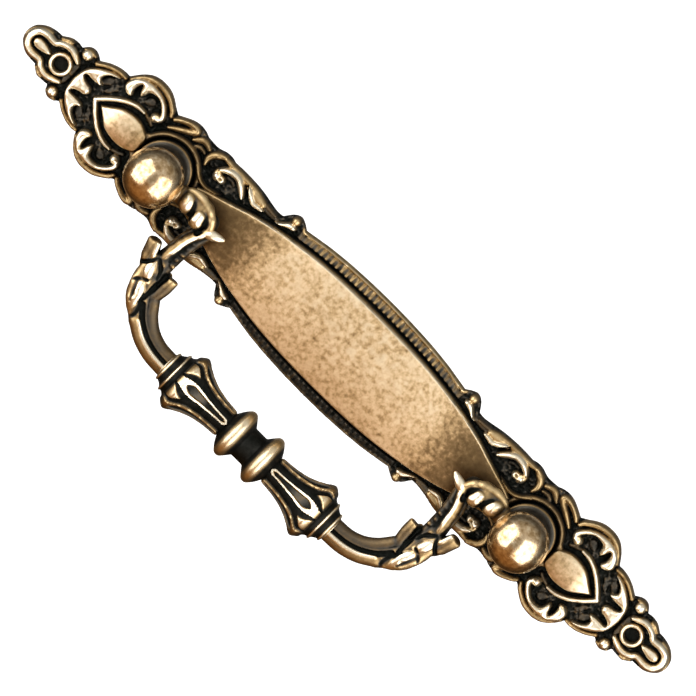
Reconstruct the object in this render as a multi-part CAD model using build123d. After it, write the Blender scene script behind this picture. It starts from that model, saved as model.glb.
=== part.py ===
"""Swinging bail pull on an ornate cast backplate, for a drawer or cabinet door.

Four pieces: a cast backplate in relief, two ball-headed posts that stand in it, and a cast bail
whose two pivot pins turn in cross holes in the posts' necks.

The pieces are drawn lying down, x along the plate, y up the plate, z out of its back face, and are
then stood up: x stays, y becomes +Z and z becomes -Y, so the plate's back lies in the XZ plane and
the bail hangs down.  Millimetres.
"""

import math
import os

from build123d import *

# ------------------------------------------------------------------ driving dimensions (mm)
POST_X = 48.0            # half the 96 mm spacing of the posts
PLATE_HALF = 84.45       # half the backplate's length
GROUND = 1.9             # height of the sunk ground between the ornaments
SHIELD_TOP = 5.0         # crown of the smooth middle shield
SHIELD_R_LONG = 491.0    # radius of its top along the plate
SHIELD_R_CROSS = 43.0    # radius of its top across the plate
SEAT_Z = 3.4             # the flat that a post's flange sits on
SEAT_HOLE_R = 3.05       # hole for the post's spigot
EYE_X = 75.5             # blind eye near each end
EYE_R = 1.40
EYE_FLOOR = 0.7          # what is left under the eye

PIVOT_Z = 7.0            # height of the bail's axis over the back face
PIN_R = 1.50             # pivot pin
PIN_HOLE_R = 1.58        # its hole in the post
PIN_END_X = 46.4
PIN_HOLE_END_X = 46.8

BALL_R = 5.8
BALL_Z = 13.2
NECK_R = 4.6
FLANGE_R = 5.3
SPIGOT_R = 3.0
TAP_R = 1.65             # tapped for an M4 screw
TAP_DEPTH = 5.0

GRIP_Y = -25.2           # the grip's axis under the pivot axis
ARM_X = 35.6             # the arms' straight part
ARM_R_LOW = 2.6
ARM_R_HIGH = 2.1
CORNER_R = 12.5
FLUTES = 8

# ------------------------------------------------------------------ outline of the backplate
# One quarter, from the left tip to the middle.  Each run is a smooth curve; runs meet in notches.
OUTLINE = [
    [(-84.45, 0.0), (-84.05, 1.5), (-82.3, 3.15), (-80.5, 3.67), (-79.0, 3.72)],
    [(-79.0, 3.72), (-77.4, 4.75), (-75.9, 5.0), (-74.8, 4.85)],
    [(-74.8, 4.85), (-73.9, 5.95), (-72.9, 6.35), (-71.8, 6.15), (-70.7, 5.45)],
    [(-70.7, 5.45), (-68.9, 6.55), (-67.2, 7.2), (-65.8, 7.42), (-64.75, 7.4)],
    [(-64.75, 7.4), (-63.3, 9.35), (-61.8, 10.65), (-60.3, 11.2), (-58.8, 11.3), (-57.2, 11.05), (-55.8, 10.4), (-54.5, 9.5), (-53.2, 8.7)],
    [(-53.2, 8.7), (-51.2, 9.75), (-49.8, 10.3), (-48.5, 10.45), (-47.2, 10.25), (-46.2, 9.85)],
    [(-46.2, 9.85), (-44.8, 9.72), (-43.4, 9.75), (-41.8, 10.25), (-40.5, 10.35), (-39.2, 10.05)],
    [(-39.2, 10.05), (-37.0, 10.15), (-34.3, 10.1), (-31.6, 9.85), (-29.0, 9.35), (-27.3, 9.1), (-26.0, 9.2)],
    [(-26.0, 9.2), (-24.7, 10.95), (-23.4, 11.65), (-22.2, 11.3), (-20.9, 10.45)],
    [(-20.9, 10.45), (-18.3, 10.9), (-15.6, 11.35), (-13.0, 11.65), (-10.3, 11.9), (-5.0, 12.17), (0.0, 12.25)],
]

# Edge of the smooth shield, one quarter.
SHIELD = [(-43.4, 1.2), (-40.0, 2.75), (-37.0, 3.75), (-33.6, 4.8), (-29.5, 6.06), (-23.6, 7.35), (-15.6, 8.55), (-8.0, 9.05), (0.0, 9.2)]

# Scroll ridges of one quarter: centre line points, half-widths at the same points, and height.
RIDGES = {
    # open scroll at the shoulder, outer band and inner lip
    "scroll_band": ([(-63.9, 7.9), (-62.9, 9.2), (-61.4, 10.1), (-59.2, 10.55), (-57.0, 10.2), (-55.2, 9.0), (-54.1, 7.4)], [0.5, 0.75, 0.8, 0.8, 0.78, 0.65, 0.45], 3.05),
    "scroll_lip": ([(-63.5, 5.6), (-62.9, 7.2), (-61.3, 8.5), (-59.0, 9.0), (-56.9, 8.4), (-55.3, 7.1), (-54.9, 5.9)], [0.75, 0.8, 0.62, 0.5, 0.45, 0.42, 0.4], 3.6),
    "scroll_tooth": ([(-60.6, 8.7), (-60.4, 7.6), (-60.9, 6.6)], [0.6, 0.45, 0.2], 3.42),
    # palmette horn behind the eye
    "horn": ([(-70.1, 3.3), (-69.2, 4.6), (-67.8, 5.6), (-66.2, 6.1), (-65.0, 6.2)], [0.7, 0.95, 0.8, 0.6, 0.3], 3.2),
    "horn_tooth": ([(-67.2, 5.6), (-66.9, 4.7), (-67.3, 4.0)], [0.55, 0.45, 0.2], 3.12),
    # loop leaf beside the post
    "loop_leaf_a": ([(-53.0, 6.7), (-51.6, 8.2), (-49.9, 9.2), (-48.2, 9.6)], [0.35, 0.5, 0.55, 0.4], 2.95),
    "loop_leaf_b": ([(-51.9, 6.6), (-50.4, 7.6), (-48.8, 8.5), (-47.6, 8.9)], [0.3, 0.42, 0.42, 0.3], 2.85),
    "loop_leaf_c": ([(-45.6, 6.9), (-44.9, 8.0), (-43.5, 9.0), (-41.6, 9.4)], [0.35, 0.5, 0.55, 0.4], 2.9),
    # long leaf that runs from its eye along the shield to the bud
    "leaf_band": ([(-41.2, 7.6), (-39.6, 9.0), (-37.2, 9.35), (-34.0, 9.3), (-31.0, 8.9), (-28.4, 8.3), (-26.2, 8.2), (-24.6, 9.2)], [0.4, 0.65, 0.72, 0.72, 0.62, 0.48, 0.45, 0.5], 3.1),
    "leaf_lip": ([(-41.0, 5.9), (-40.4, 7.1), (-38.6, 7.9), (-36.6, 7.6), (-35.2, 6.6), (-34.3, 5.7)], [0.4, 0.5, 0.55, 0.6, 0.5, 0.25], 3.55),
    "leaf_tooth": ([(-34.9, 8.4), (-33.8, 7.4), (-32.4, 6.9), (-30.9, 7.0)], [0.5, 0.55, 0.45, 0.2], 3.4),
    # lip around the pointed petal
    "petal_lip": ([(-66.4, 0.0), (-64.6, 1.9), (-62.6, 3.3), (-60.4, 4.25), (-57.9, 4.75)], [0.42, 0.42, 0.42, 0.4, 0.25], 3.0),
    # lip of the eye: round part, waist and end loop
    "eye_lip": ([(-72.4, 2.35), (-74.0, 3.2), (-75.7, 3.35), (-77.3, 2.95), (-78.6, 2.15), (-80.2, 2.1), (-82.0, 2.05), (-83.2, 1.3), (-83.6, 0.0)], [0.5, 0.55, 0.58, 0.55, 0.5, 0.58, 0.62, 0.6, 0.58], 2.9),
}

# Round beads of one quarter: x, y, radius, height of centre.
BEADS = [
    (-72.9, 5.05, 1.15, 2.3),     # either side of the eye
    (-77.0, 4.05, 0.7, 2.2),
    (-55.35, 5.35, 0.85, 2.9),    # eye of the shoulder scroll
    (-40.9, 5.35, 0.95, 2.75),    # eye of the long leaf
    (-23.5, 10.25, 1.25, 2.3),    # bud on the edge
]


def both_ways(shape):
    """The shape and its mirror image across the plate's middle line."""
    return [shape, mirror(shape, about=Plane.XZ)]


def both_ends(shapes):
    """The shapes and their mirror images at the other end."""
    return list(shapes) + [mirror(s, about=Plane.YZ) for s in shapes]


def band(points, half_widths, bottom, top):
    """A ridge of varying width along a line, as an upright solid with round-nosed ends."""
    n = len(points)
    left, right = [], []
    for i, (x, y) in enumerate(points):
        a, b = points[max(0, i - 1)], points[min(n - 1, i + 1)]
        dx, dy = b[0] - a[0], b[1] - a[1]
        d = math.hypot(dx, dy)
        nx, ny = -dy / d, dx / d
        w = half_widths[i]
        left.append((x + nx * w, y + ny * w))
        right.append((x - nx * w, y - ny * w))
    first = [left[0], right[0]]
    last = [left[-1], right[-1]]

    def nose(pair, inner, w):
        mx, my = (pair[0][0] + pair[1][0]) / 2, (pair[0][1] + pair[1][1]) / 2
        dx, dy = mx - inner[0], my - inner[1]
        d = math.hypot(dx, dy)
        return (mx + dx / d * w, my + dy / d * w)

    start = ThreePointArc(left[0], nose(first, points[1], half_widths[0]), right[0])
    end = ThreePointArc(left[-1], nose(last, points[-2], half_widths[-1]), right[-1])
    face = make_face([Spline(*left), end, Spline(*right), start])
    return Pos(0, 0, bottom) * extrude(face, amount=top - bottom, dir=(0, 0, 1))


# ------------------------------------------------------------------ backplate
def quarter_edges(runs):
    return [Spline(*r) if len(r) > 2 else Line(*r) for r in runs]


def outline_face():
    q = quarter_edges(OUTLINE)
    edges = list(q)
    edges += [mirror(e, about=Plane.YZ) for e in q]
    edges += [mirror(e, about=Plane.XZ) for e in edges]
    return make_face(edges)


def shield_solid():
    half = SHIELD + [(-x, y) for x, y in reversed(SHIELD[:-1])]
    top = Spline(*half)
    bottom = mirror(top, about=Plane.XZ)
    x0, y0 = SHIELD[0]
    face = make_face([top, bottom, Line((x0, y0), (x0, -y0)), Line((-x0, y0), (-x0, -y0))])
    prism = Pos(0, 0, 1.0) * extrude(face, amount=6.0, dir=(0, 0, 1))
    crown = Rot(90, 0, 0) * Torus(SHIELD_R_LONG - SHIELD_R_CROSS, SHIELD_R_CROSS)
    crown = Pos(0, 0, SHIELD_TOP - SHIELD_R_LONG) * crown
    return prism & crown


def make_backplate():
    base = extrude(outline_face(), amount=GROUND, dir=(0, 0, 1))
    quarter = [band(p, w, 0.9, top) for p, w, top in RIDGES.values()]
    quarter += [Pos(x, y, z) * Sphere(r) & Pos(x, y, 5.9) * Box(6, 6, 10) for x, y, r, z in BEADS]
    ends = [s for q in quarter for s in both_ways(q)]

    # pointed petal between the post and the palmette
    up = [(-64.5, 0.0), (-62.6, 1.75), (-60.4, 2.75), (-57.8, 3.15), (-55.4, 2.9), (-53.4, 2.0)]
    petal_up = Spline(*up)
    petal = make_face([petal_up, mirror(petal_up, about=Plane.XZ), Line((-53.4, 2.0), (-53.4, -2.0))])
    ends.append(Pos(0, 0, 0.9) * extrude(petal, amount=2.75, dir=(0, 0, 1)))

    # palmette bar and its middle tongue
    ends.append(band([(-69.9, 3.9), (-70.55, 2.0), (-70.75, 0.0), (-70.55, -2.0), (-69.9, -3.9)], [0.5, 0.6, 0.65, 0.6, 0.5], 0.9, 3.27))
    ends.append(band([(-70.6, 0.0), (-69.2, 0.0), (-67.9, 0.0)], [1.3, 0.75, 1.05], 0.9, 3.34))

    # drop inside the end loop, and the raised rim of the eye
    ends.append(band([(-78.4, 0.0), (-80.2, 0.0), (-81.7, 0.0)], [0.3, 0.62, 0.75], 0.9, 2.7))
    ends.append(Pos(-EYE_X, 0, 0.9) * extrude(Circle(2.1), amount=1.77, dir=(0, 0, 1)))

    # stepped seat of the post
    ends.append(Pos(-POST_X, 0, 0.9) * extrude(Circle(7.2), amount=1.86, dir=(0, 0, 1)))
    ends.append(Pos(-POST_X, 0, 0.9) * extrude(Circle(6.4), amount=SEAT_Z - 0.9, dir=(0, 0, 1)))

    features = both_ends(ends)
    features.append(shield_solid())

    # milled rail along each long edge: a plain outer rim and a row of close teeth
    rim = [(-21.4, 10.0), (-18.3, 10.45), (-15.6, 10.9), (-10.3, 11.45), (-5.0, 11.72), (0.0, 11.8)]
    rim = rim + [(-x, y) for x, y in reversed(rim[:-1])]
    features += both_ways(band(rim, [0.4] * len(rim), 0.9, 2.62))
    pitch, tooth = 1.1, 0.62
    n = int(40.0 / pitch)
    for i in range(n + 1):
        x = (i - n / 2) * pitch
        y = 10.55 - 1.75 * (x / 21.0) ** 2
        slope = math.degrees(math.atan(-3.5 * x / 441.0))
        features += both_ways(Pos(x, y, 1.7) * Rot(0, 0, slope) * Box(tooth, 1.5, 1.5))

    plate = base + features
    tools = []
    for side in (-1, 1):
        tools.append(Pos(side * POST_X, 0, 3.0) * Cylinder(SEAT_HOLE_R, 10))
        tools.append(Pos(side * EYE_X, 0, EYE_FLOOR + 5.0) * Cylinder(EYE_R, 10))
        # clear the seat so that the flange sits flat
        tools.append(Pos(side * POST_X, 0, SEAT_Z + 3.0) * Cylinder(6.0, 6.0))
    plate = plate - tools
    return plate


# ------------------------------------------------------------------ posts
def make_post(side):
    """Ball-headed post: spigot through the plate, flange, neck with the pivot hole, ball."""
    seat_on_ball = BALL_Z - math.sqrt(BALL_R**2 - 4.0**2)
    profile = [
        Line((0, 0), (SPIGOT_R, 0)),
        Line((SPIGOT_R, 0), (SPIGOT_R, SEAT_Z)),
        Line((SPIGOT_R, SEAT_Z), (FLANGE_R, SEAT_Z)),
        ThreePointArc((FLANGE_R, SEAT_Z), (FLANGE_R + 0.35, SEAT_Z + 0.5), (FLANGE_R, SEAT_Z + 1.0)),
        ThreePointArc((FLANGE_R, SEAT_Z + 1.0), (NECK_R + 0.3, SEAT_Z + 1.3), (NECK_R, SEAT_Z + 2.0)),
        Line((NECK_R, SEAT_Z + 2.0), (NECK_R, 7.8)),
        ThreePointArc((NECK_R, 7.8), (4.25, 8.45), (4.0, seat_on_ball)),
        ThreePointArc((4.0, seat_on_ball), (BALL_R, BALL_Z), (0, BALL_Z + BALL_R)),
        Line((0, BALL_Z + BALL_R), (0, 0)),
    ]
    face = Plane.XZ * make_face(profile)
    post = revolve(face, axis=Axis.Z, revolution_arc=360)
    post = Pos(side * POST_X, 0, 0) * post
    post = post - Pos(side * POST_X, 0, TAP_DEPTH / 2) * Cylinder(TAP_R, TAP_DEPTH)
    length = PIN_HOLE_END_X - 40.0
    hole = Pos(side * (40.0 + length / 2), 0, PIVOT_Z) * Rot(0, 90, 0) * Cylinder(PIN_HOLE_R, length)
    return post - hole


# ------------------------------------------------------------------ bail
GRIP = [  # x from the middle of the grip, radius
    (0.0, 3.45), (1.3, 3.45), (1.5, 3.6), (2.0, 4.3), (2.6, 5.05), (2.95, 5.35), (3.55, 5.45), (4.15, 5.35), (4.5, 5.05),
    (5.1, 4.3), (5.6, 3.5), (5.75, 3.15), (6.2, 3.1), (9.0, 3.3), (11.4, 3.75), (13.4, 4.45), (15.0, 5.4), (16.2, 6.1),
    (16.9, 6.3), (17.4, 6.05), (18.4, 5.3), (18.8, 4.5), (19.4, 4.35), (19.6, 4.55), (20.0, 4.35), (20.3, 3.6),
    (21.0, 3.3), (21.2, 3.4), (21.6, 3.15), (21.8, 2.65), (22.3, 2.6),
]
KNUCKLE = [  # x along the pivot axis, radius: inner cap, two rolls, pin shoulder
    (33.2, 0.0), (33.5, 1.3), (34.4, 2.4), (35.6, 2.95), (36.8, 3.05), (38.0, 2.75), (38.8, 2.1),
    (39.3, 2.35), (40.2, 2.75), (41.1, 2.6), (41.9, 2.25), (42.8, 2.0), (42.85, PIN_R),
]


def lathe(points, axis_y, axis_z):
    """Turns a profile of (x, radius) about a line along x."""
    pts = [(x, r) for x, r in points]
    lines = [Polyline(*pts)]
    x0, r0 = pts[0]
    x1, r1 = pts[-1]
    closing = [(x1, r1), (x1, 0.0), (x0, 0.0)]
    if r0 > 0:
        closing.append((x0, r0))
    lines.append(Polyline(*closing))
    solid = revolve(make_face(lines), axis=Axis.X, revolution_arc=360)
    return Pos(0, axis_y, axis_z) * solid


def taper(p, q, r0, r1):
    """A round-nosed taper from p to q."""
    d = Vector(*q) - Vector(*p)
    cone = Plane(origin=p, z_dir=d) * Pos(0, 0, d.length / 2) * Cone(r0, r1, d.length)
    return cone + Pos(*q) * Sphere(r1)


def make_bail():
    grip = GRIP + []
    right = lathe(grip, GRIP_Y, PIVOT_Z)
    # long sunk panels between the ribs of the baluster
    cuts = []
    for k in range(FLUTES):
        a = 360.0 / FLUTES * k
        p0, p1 = Vector(7.2, 3.62, 0), Vector(14.6, 5.42, 0)
        d = p1 - p0
        rod = Plane(origin=p0, z_dir=d) * Pos(0, 0, d.length / 2) * Cylinder(0.8, d.length)
        rod = rod + Pos(*p0) * Sphere(0.8) + Pos(*p1) * Sphere(0.8)
        cuts.append(Pos(0, GRIP_Y, PIVOT_Z) * Rot(a, 0, 0) * rod)
    right = right - cuts

    centre = (ARM_X - CORNER_R, GRIP_Y + CORNER_R)
    low = Line((21.6, GRIP_Y), (ARM_X - CORNER_R, GRIP_Y)) + CenterArc(centre, CORNER_R, -90, 90) + Line((ARM_X, GRIP_Y + CORNER_R), (ARM_X, -10.2))
    high = Spline((ARM_X, -11.0), (ARM_X, -7.5), (ARM_X - 0.35, -4.2), (ARM_X - 0.9, -1.4), tangents=((0, 1), (-0.25, 1)))
    arm_low = sweep(Plane(origin=(21.6, GRIP_Y, 0), z_dir=(1, 0, 0)) * Circle(ARM_R_LOW), path=low)
    arm_high = sweep(Plane(origin=(ARM_X, -11.0, 0), z_dir=(0, 1, 0)) * Circle(ARM_R_HIGH), path=high)
    lift = Pos(0, 0, PIVOT_Z)
    pieces = [lift * arm_low, lift * arm_high]
    pieces.append(lift * Pos(ARM_X, -10.2, 0) * Sphere(ARM_R_LOW))

    # leaf that sheathes the arm: outer and inner tips, and the small curl under the knuckle
    pieces.append(taper((36.7, -16.0, PIVOT_Z + 0.2), (39.6, -10.6, PIVOT_Z + 0.4), 2.0, 0.95))
    pieces.append(taper((33.6, -17.6, PIVOT_Z + 0.2), (32.3, -13.9, PIVOT_Z + 0.4), 1.7, 0.85))
    pieces.append(taper((34.0, -1.7, PIVOT_Z + 0.6), (31.2, -0.9, PIVOT_Z + 0.7), 1.0, 0.45))

    knuckle = lathe(KNUCKLE + [(PIN_END_X - 0.4, PIN_R), (PIN_END_X, PIN_R - 0.4)], 0.0, PIVOT_Z)
    pieces.append(knuckle)
    right = right + pieces
    return right + mirror(right, about=Plane.YZ)


# ------------------------------------------------------------------ stand the pieces up and write them
def one_solid(shape):
    solids = shape.solids()
    assert len(solids) == 1, len(solids)
    return solids[0]


def main():
    os.makedirs("parts", exist_ok=True)
    stand = Rot(90, 0, 0)
    nodes = {
        "backplate": make_backplate(),
        "left_post": make_post(-1),
        "right_post": make_post(1),
        "bail": make_bail(),
    }
    for name, shape in nodes.items():
        solid = one_solid(stand * shape)
        export_step(solid, f"parts/{name}.step")
        print(name, "volume", round(solid.volume, 1), "valid", solid.is_valid)


main()
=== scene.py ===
import math

import bpy
import numpy as np
from mathutils import Matrix, Vector


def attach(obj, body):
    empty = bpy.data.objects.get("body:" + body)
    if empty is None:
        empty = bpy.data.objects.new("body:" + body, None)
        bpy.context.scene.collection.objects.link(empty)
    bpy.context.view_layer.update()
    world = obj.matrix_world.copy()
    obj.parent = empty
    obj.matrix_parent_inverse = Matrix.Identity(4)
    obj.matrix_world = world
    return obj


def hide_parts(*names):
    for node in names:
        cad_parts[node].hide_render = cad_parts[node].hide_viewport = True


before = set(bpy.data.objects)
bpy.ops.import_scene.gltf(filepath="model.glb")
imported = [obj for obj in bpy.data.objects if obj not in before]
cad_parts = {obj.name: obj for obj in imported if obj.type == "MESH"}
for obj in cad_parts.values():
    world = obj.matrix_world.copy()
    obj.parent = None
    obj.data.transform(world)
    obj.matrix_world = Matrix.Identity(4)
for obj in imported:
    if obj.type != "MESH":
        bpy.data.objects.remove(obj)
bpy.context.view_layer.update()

# Everything below is drawn in millimetres on a plate that lies down: x along the plate, y up the
# plate, z out of its back.  stand() puts it in the part's own frame, in metres.


def stand(v):
    v = np.asarray(v, float)
    return np.stack([v[:, 0], -v[:, 2], v[:, 1]], axis=1) * 0.001


def smooth_line(points, step, dims=2):
    """A smooth line through the points, sampled about every step. Extra columns go along."""
    p = np.array(points, float)
    n = len(p)
    out = []
    for i in range(n - 1):
        p1, p2 = p[i], p[i + 1]
        p0 = p[i - 1] if i > 0 else 2 * p1 - p2
        p3 = p[i + 2] if i + 2 < n else 2 * p2 - p1
        k = max(2, int(math.ceil(np.linalg.norm((p2 - p1)[:dims]) / step)))
        t = (np.arange(k) / k)[:, None]
        out.append(0.5 * (2 * p1 + (p2 - p0) * t + (2 * p0 - 5 * p1 + 4 * p2 - p3) * t**2 + (3 * p1 - p0 - 3 * p2 + p3) * t**3))
    out.append(p[-1:])
    return np.concatenate(out)


def blur(a, sigma):
    """Gaussian blur of an array, its edges mirrored."""
    r = int(math.ceil(3 * sigma))
    k = np.exp(-0.5 * (np.arange(-r, r + 1) / sigma) ** 2)
    k /= k.sum()
    for axis in (0, 1):
        pad = [(0, 0), (0, 0)]
        pad[axis] = (r, r)
        b = np.pad(a, pad, mode="reflect")
        s = np.zeros_like(a)
        for i, w in enumerate(k):
            s += w * (b[i:i + a.shape[0]] if axis == 0 else b[:, i:i + a.shape[1]])
        a = s
    return a


def step01(lo, hi, v):
    t = np.clip((v - lo) / (hi - lo), 0, 1)
    return t * t * (3 - 2 * t)


# ------------------------------------------------------------------ backplate: outline and relief
POST_X = 48.0
EYE_X = 75.5
GROUND = 1.25

OUTLINE = [
    [(-84.45, 0.0), (-84.3, 0.85), (-83.75, 1.9), (-82.3, 3.05), (-80.5, 3.62), (-79.0, 3.72)],
    [(-79.0, 3.72), (-77.4, 4.75), (-75.9, 5.0), (-74.8, 4.85)],
    [(-74.8, 4.85), (-73.9, 5.95), (-72.9, 6.35), (-71.8, 6.15), (-70.7, 5.45)],
    [(-70.7, 5.45), (-68.9, 6.55), (-67.2, 7.2), (-65.8, 7.42), (-64.75, 7.4)],
    [(-64.75, 7.4), (-63.3, 9.35), (-61.8, 10.65), (-60.3, 11.2), (-58.8, 11.3), (-57.2, 11.05), (-55.8, 10.4), (-54.5, 9.5), (-53.2, 8.7)],
    [(-53.2, 8.7), (-51.2, 9.75), (-49.8, 10.3), (-48.5, 10.45), (-47.2, 10.25), (-46.2, 9.85)],
    [(-46.2, 9.85), (-44.8, 9.72), (-43.4, 9.75), (-41.8, 10.25), (-40.5, 10.35), (-39.2, 10.05)],
    [(-39.2, 10.05), (-37.0, 10.15), (-34.3, 10.1), (-31.6, 9.85), (-29.0, 9.35), (-27.3, 9.1), (-26.0, 9.2)],
    [(-26.0, 9.2), (-24.7, 10.95), (-23.4, 11.65), (-22.2, 11.3), (-20.9, 10.45)],
    [(-20.9, 10.45), (-18.3, 10.9), (-15.6, 11.35), (-13.0, 11.65), (-10.3, 11.9), (-5.0, 12.17), (0.0, 12.25)],
]
SHIELD = [(-43.4, 1.2), (-40.0, 2.75), (-37.0, 3.75), (-33.6, 4.85), (-29.5, 6.2), (-23.6, 7.6), (-15.6, 8.82), (-8.0, 9.35), (0.0, 9.5)]
PETAL = [(-64.9, 0.0), (-64.3, 0.4), (-63.0, 1.4), (-62.0, 2.2), (-61.0, 2.75), (-60.0, 3.05), (-59.0, 3.22), (-58.0, 3.28), (-57.0, 3.18), (-56.0, 2.9), (-55.0, 2.45), (-54.4, 2.05), (-54.0, 1.2)]

edge_line = np.concatenate([smooth_line(r, 0.1)[:-1] for r in OUTLINE] + [np.array([OUTLINE[-1][-1]], float)])
edge_line[:, 0] = np.maximum.accumulate(edge_line[:, 0] + np.arange(len(edge_line)) * 1e-7)
shield_line = smooth_line(SHIELD, 0.2)
petal_line = smooth_line(PETAL, 0.1)


def edge_w(x):
    return np.interp(-np.abs(x), edge_line[:, 0], edge_line[:, 1])


def curve_in(line, x, y):
    """How far inside a mirrored half-width curve a point lies, about square to its edge."""
    ax = -np.abs(x)
    w = np.interp(ax, line[:, 0], line[:, 1], left=0, right=line[-1, 1])
    w2 = np.interp(ax + 0.15, line[:, 0], line[:, 1], left=0, right=line[-1, 1])
    w1 = np.interp(ax - 0.15, line[:, 0], line[:, 1], left=0, right=line[-1, 1])
    slope = np.clip((w2 - w1) / 0.3, -1.6, 1.6)
    return (w - np.abs(y)) / np.sqrt(1 + slope**2)


# One quarter of the relief on a fine grid: height, and tone: how brightly the finish is rubbed there, with painted
# shade at the shield's ends and in the blind eyes.
STEP = 0.06
GX = np.arange(-85.2, 1e-6, STEP)
GY = np.arange(0.0, 13.2, STEP)
XX, YY = np.meshgrid(GX, GY, indexing="ij")
H = np.full(XX.shape, GROUND)
TONE = np.full(XX.shape, 0.10)


def window(lo, hi):
    i0, i1 = np.searchsorted(GX, [lo[0], hi[0]])
    j0, j1 = np.searchsorted(GY, [lo[1], hi[1]])
    return slice(i0, i1), slice(j0, j1)


def lift(sl, prof, top, tone, base):
    """Raises the relief to a profile that is 0 at its foot and 1 at its top."""
    h = base + (top - base) * prof
    up = (prof > 0) & (h > H[sl])
    H[sl] = np.where(up, h, H[sl])
    TONE[sl] = np.where(up, tone * (0.30 + 0.70 * np.clip(1.7 * prof - 0.15, 0, 1)), TONE[sl])


def line_ratio(points, step, x, y):
    """Distance to a line of (x, y, half width), in half widths."""
    q = np.full(x.shape, 9.0)
    line = smooth_line(points, step)
    for a, b in zip(line[:-1], line[1:]):
        d = b[:2] - a[:2]
        t = np.clip(((x - a[0]) * d[0] + (y - a[1]) * d[1]) / max(d @ d, 1e-12), 0, 1)
        q = np.minimum(q, np.hypot(x - a[0] - d[0] * t, y - a[1] - d[1] * t) / np.maximum(a[2] + (b[2] - a[2]) * t, 1e-3))
    return q


def ridge(points, top, tone=0.95, base=GROUND, power=0.5, step=0.2):
    """A rounded ridge along a line of (x, y, half width)."""
    p = np.array(points, float)
    p[:, 2] = p[:, 2] * 1.12 + (0.10 if tone > 0.7 else 0.06)
    points = p
    w = p[:, 2].max()
    sl = window(p[:, :2].min(0) - w - 0.4, p[:, :2].max(0) + w + 0.4)
    q = line_ratio(points, step, XX[sl], YY[sl])
    lift(sl, np.maximum(1 - q * q, 0) ** power, top, tone, base)


def groove(points, depth, dark=0.0, step=0.2):
    """A soft sunk line of (x, y, half width)."""
    p = np.array(points, float)
    w = p[:, 2].max()
    sl = window(p[:, :2].min(0) - w - 0.4, p[:, :2].max(0) + w + 0.4)
    q = line_ratio(points, step, XX[sl], YY[sl])
    k = np.maximum(1 - q * q, 0)
    H[sl] -= depth * k
    TONE[sl] *= 1 - dark * k


def leaf(points, top, tone=0.95, roll=0.5, base=GROUND, grow=0.12):
    """A filled shape with rolled edges, from a closed line of points."""
    p = np.array(points, float)
    n = len(p)
    line = smooth_line(np.concatenate([p[-2:], p, p[:2]]), 0.15)
    i0 = int(np.argmin(np.hypot(*(line[: len(line) // 2] - p[0]).T)))
    i1 = len(line) // 2 + int(np.argmin(np.hypot(*(line[len(line) // 2:] - p[0]).T)))
    line = line[i0:i1]
    sl = window(line.min(0) - 0.3, line.max(0) + 0.3)
    x, y = XX[sl], YY[sl]
    inside = np.zeros(x.shape, bool)
    dist = np.full(x.shape, 9.0)
    for a, b in zip(line, np.roll(line, -1, axis=0)):
        d = b - a
        t = np.clip(((x - a[0]) * d[0] + (y - a[1]) * d[1]) / max(d @ d, 1e-12), 0, 1)
        dist = np.minimum(dist, np.hypot(x - a[0] - d[0] * t, y - a[1] - d[1] * t))
        if abs(d[1]) > 1e-12:
            inside ^= ((a[1] > y) != (b[1] > y)) & (x < d[0] * (y - a[1]) / d[1] + a[0])
    deep = np.where(inside, dist, -dist) + grow
    t = np.clip(deep / roll, 0, 1)
    lift(sl, 0.58 * np.clip(deep / 0.22, 0, 1) + 0.42 * (1 - (1 - t) ** 2), top, tone, base)


def bead(x0, y0, r, top, tone=0.95, base=GROUND):
    sl = window((x0 - r, y0 - r), (x0 + r, y0 + r))
    q = np.hypot(XX[sl] - x0, YY[sl] - y0) / r
    lift(sl, np.sqrt(np.maximum(1 - q * q, 0)), top, tone, base)


def ring(x0, r, w, top, tone, base=GROUND):
    q = np.abs(np.hypot(XX - x0, YY) - r) / w
    sl = (slice(None), slice(None))
    lift(sl, np.maximum(1 - q * q, 0) ** 0.45, top, tone, base)


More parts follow.
